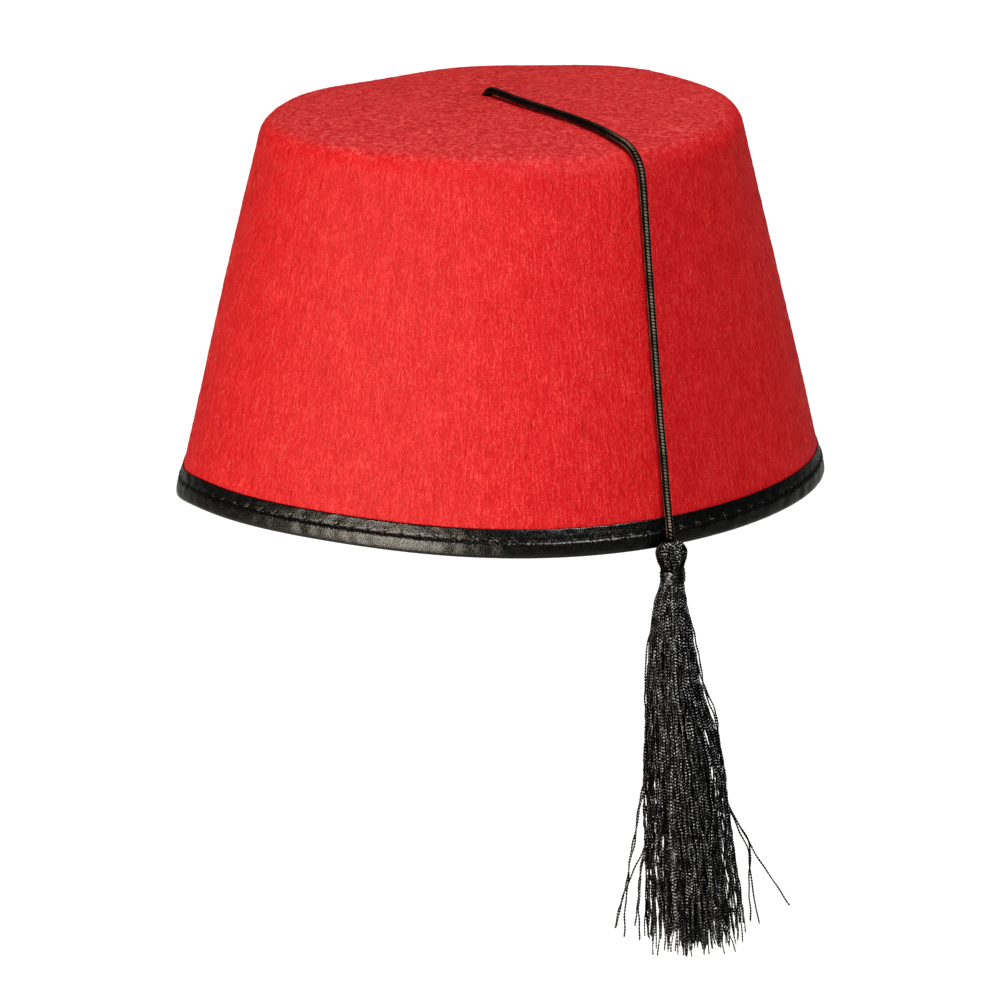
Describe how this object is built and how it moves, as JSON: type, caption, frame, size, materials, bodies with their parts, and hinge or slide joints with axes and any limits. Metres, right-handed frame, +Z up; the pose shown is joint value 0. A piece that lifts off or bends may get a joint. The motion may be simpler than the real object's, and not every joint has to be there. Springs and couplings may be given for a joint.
{
  "type": "fez hat with a corded tassel",
  "caption": "Truncated-cone felt cap with a slightly domed crown, a folded tape around its rim and a tassel that hangs from a cord over the crown.",
  "frame": {"origin": "middle of the rim's opening, level with the rim's lower edge, where the head goes in", "axes": "+Z up through the crown, -Y towards the front, +X towards the wearer's left, where the tassel hangs"},
  "size_m": [0.1931, 0.1945, 0.241],
  "materials": {
    "felt": "matt pressed felt, bright red, with short vertical fibres on the side",
    "tape": "black satin bias tape with a soft sheen and one stitched line",
    "cord": "black braided cord",
    "tassel": "glossy black twisted rayon threads"
  },
  "bodies": {
    "root": {"felt_cap": "felt", "rim_tape": "tape", "tassel_cord": "cord", "cord_knot": "cord", "tassel_head": "tassel", "tassel_neck": "tassel", "tassel_skirt": "tassel"}
  },
  "joints": []
}
